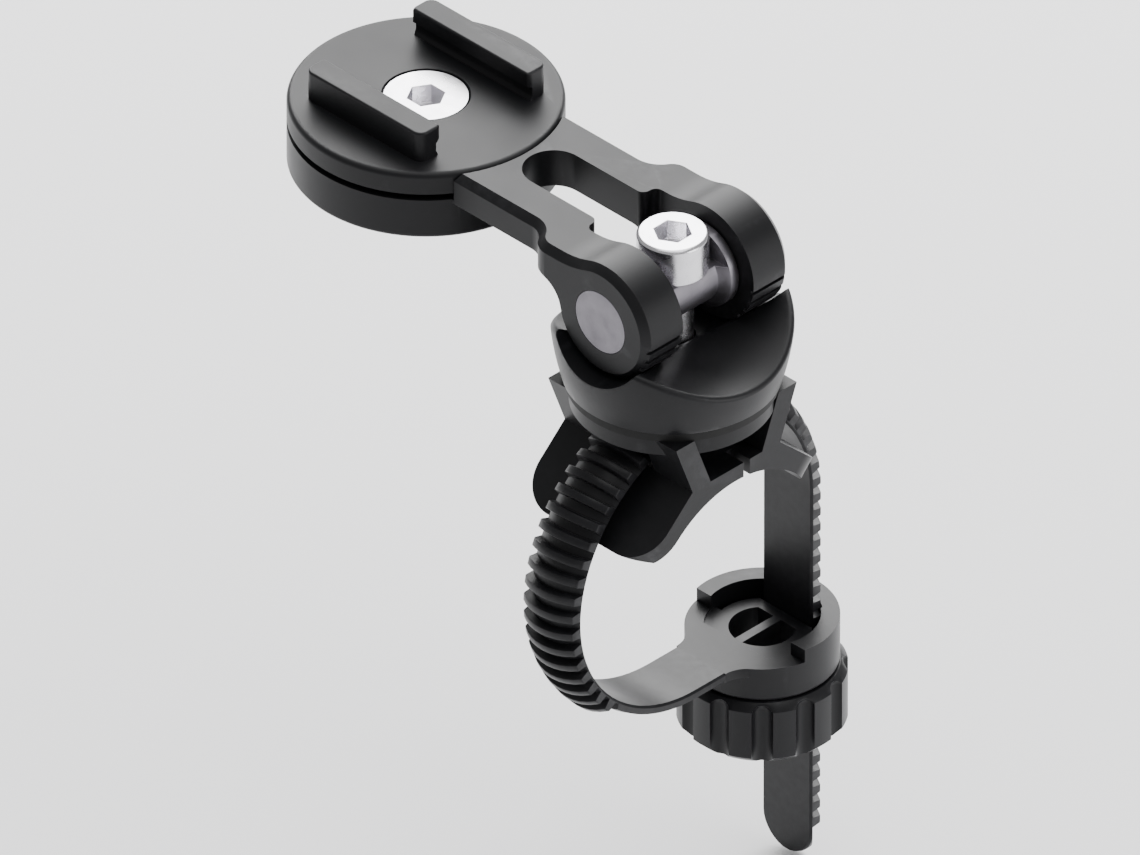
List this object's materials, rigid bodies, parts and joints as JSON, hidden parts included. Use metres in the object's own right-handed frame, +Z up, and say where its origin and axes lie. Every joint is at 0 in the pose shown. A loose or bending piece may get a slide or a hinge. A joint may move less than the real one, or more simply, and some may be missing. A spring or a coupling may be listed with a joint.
{
  "type": "handlebar phone mount",
  "caption": "Black handlebar phone mount: twist-lock head on a pitching arm, swivel cradle, curved foot and a toothed strap drawn by a knob.",
  "frame": {"origin": "on the axis of the clamped bar, under the middle of the foot", "axes": "+X along the bar, the arm and head reach out along -X at rest; +Z up from the bar through the foot and the clamp screw; +Y to the side where the strap's tail and knob hang"},
  "size_m": [0.0705, 0.0467, 0.1009],
  "materials": {
    "anodised_black": "black anodised, satin",
    "moulded_black": "fine satin moulding",
    "strap_black": "flexible nylon, satin",
    "knob_black": "moulded, satin",
    "washer_black": "matte",
    "fastener_steel": "bright plated",
    "pin_steel": "fine turned"
  },
  "bodies": {
    "base": {"foot": "moulded_black", "foot_nut": "fastener_steel", "strap_tail": "strap_black", "strap_loop": "strap_black"},
    "cradle_body": {"swivel_washer": "washer_black", "cradle": "moulded_black", "barrel_pin": "pin_steel", "clamp_screw": "fastener_steel"},
    "arm_body": {"arm": "anodised_black", "head_nut": "fastener_steel"},
    "head": {"head_plate": "moulded_black", "head_screw": "fastener_steel"},
    "strap_end": {"strap_cup": "strap_black"},
    "knob_body": {"knob": "knob_black"}
  },
  "joints": [
    {"name": "cradle_swivel", "type": "hinge", "parent": "base", "child": "cradle_body", "pos_m": [0, 0, 0.0247], "axis": [0, 0, 1], "continuous": true},
    {"name": "arm_pitch", "type": "hinge", "parent": "cradle_body", "child": "arm_body", "pos_m": [0, 0, 0.0375], "axis": [0, 1, 0], "range_deg": [-20, 90]},
    {"name": "head_turn", "type": "hinge", "parent": "arm_body", "child": "head", "pos_m": [-0.0405, 0, 0.0401], "axis": [0, 0, 1], "range_deg": [-90, 90]},
    {"name": "strap_draw", "type": "slide", "parent": "base", "child": "strap_end", "axis": [0, 0, 1], "range_m": [0, 0.008], "deforming": ["strap_loop"]},
    {"name": "knob_turn", "type": "hinge", "parent": "strap_end", "child": "knob_body", "pos_m": [0, 0.01485, -0.0236], "axis": [0, 0, 1], "range_deg": [0, 1310]}
  ],
  "couplings": [
    {"joint": "knob_turn", "follows": "strap_draw", "rad_per_m": 2856}
  ]
}
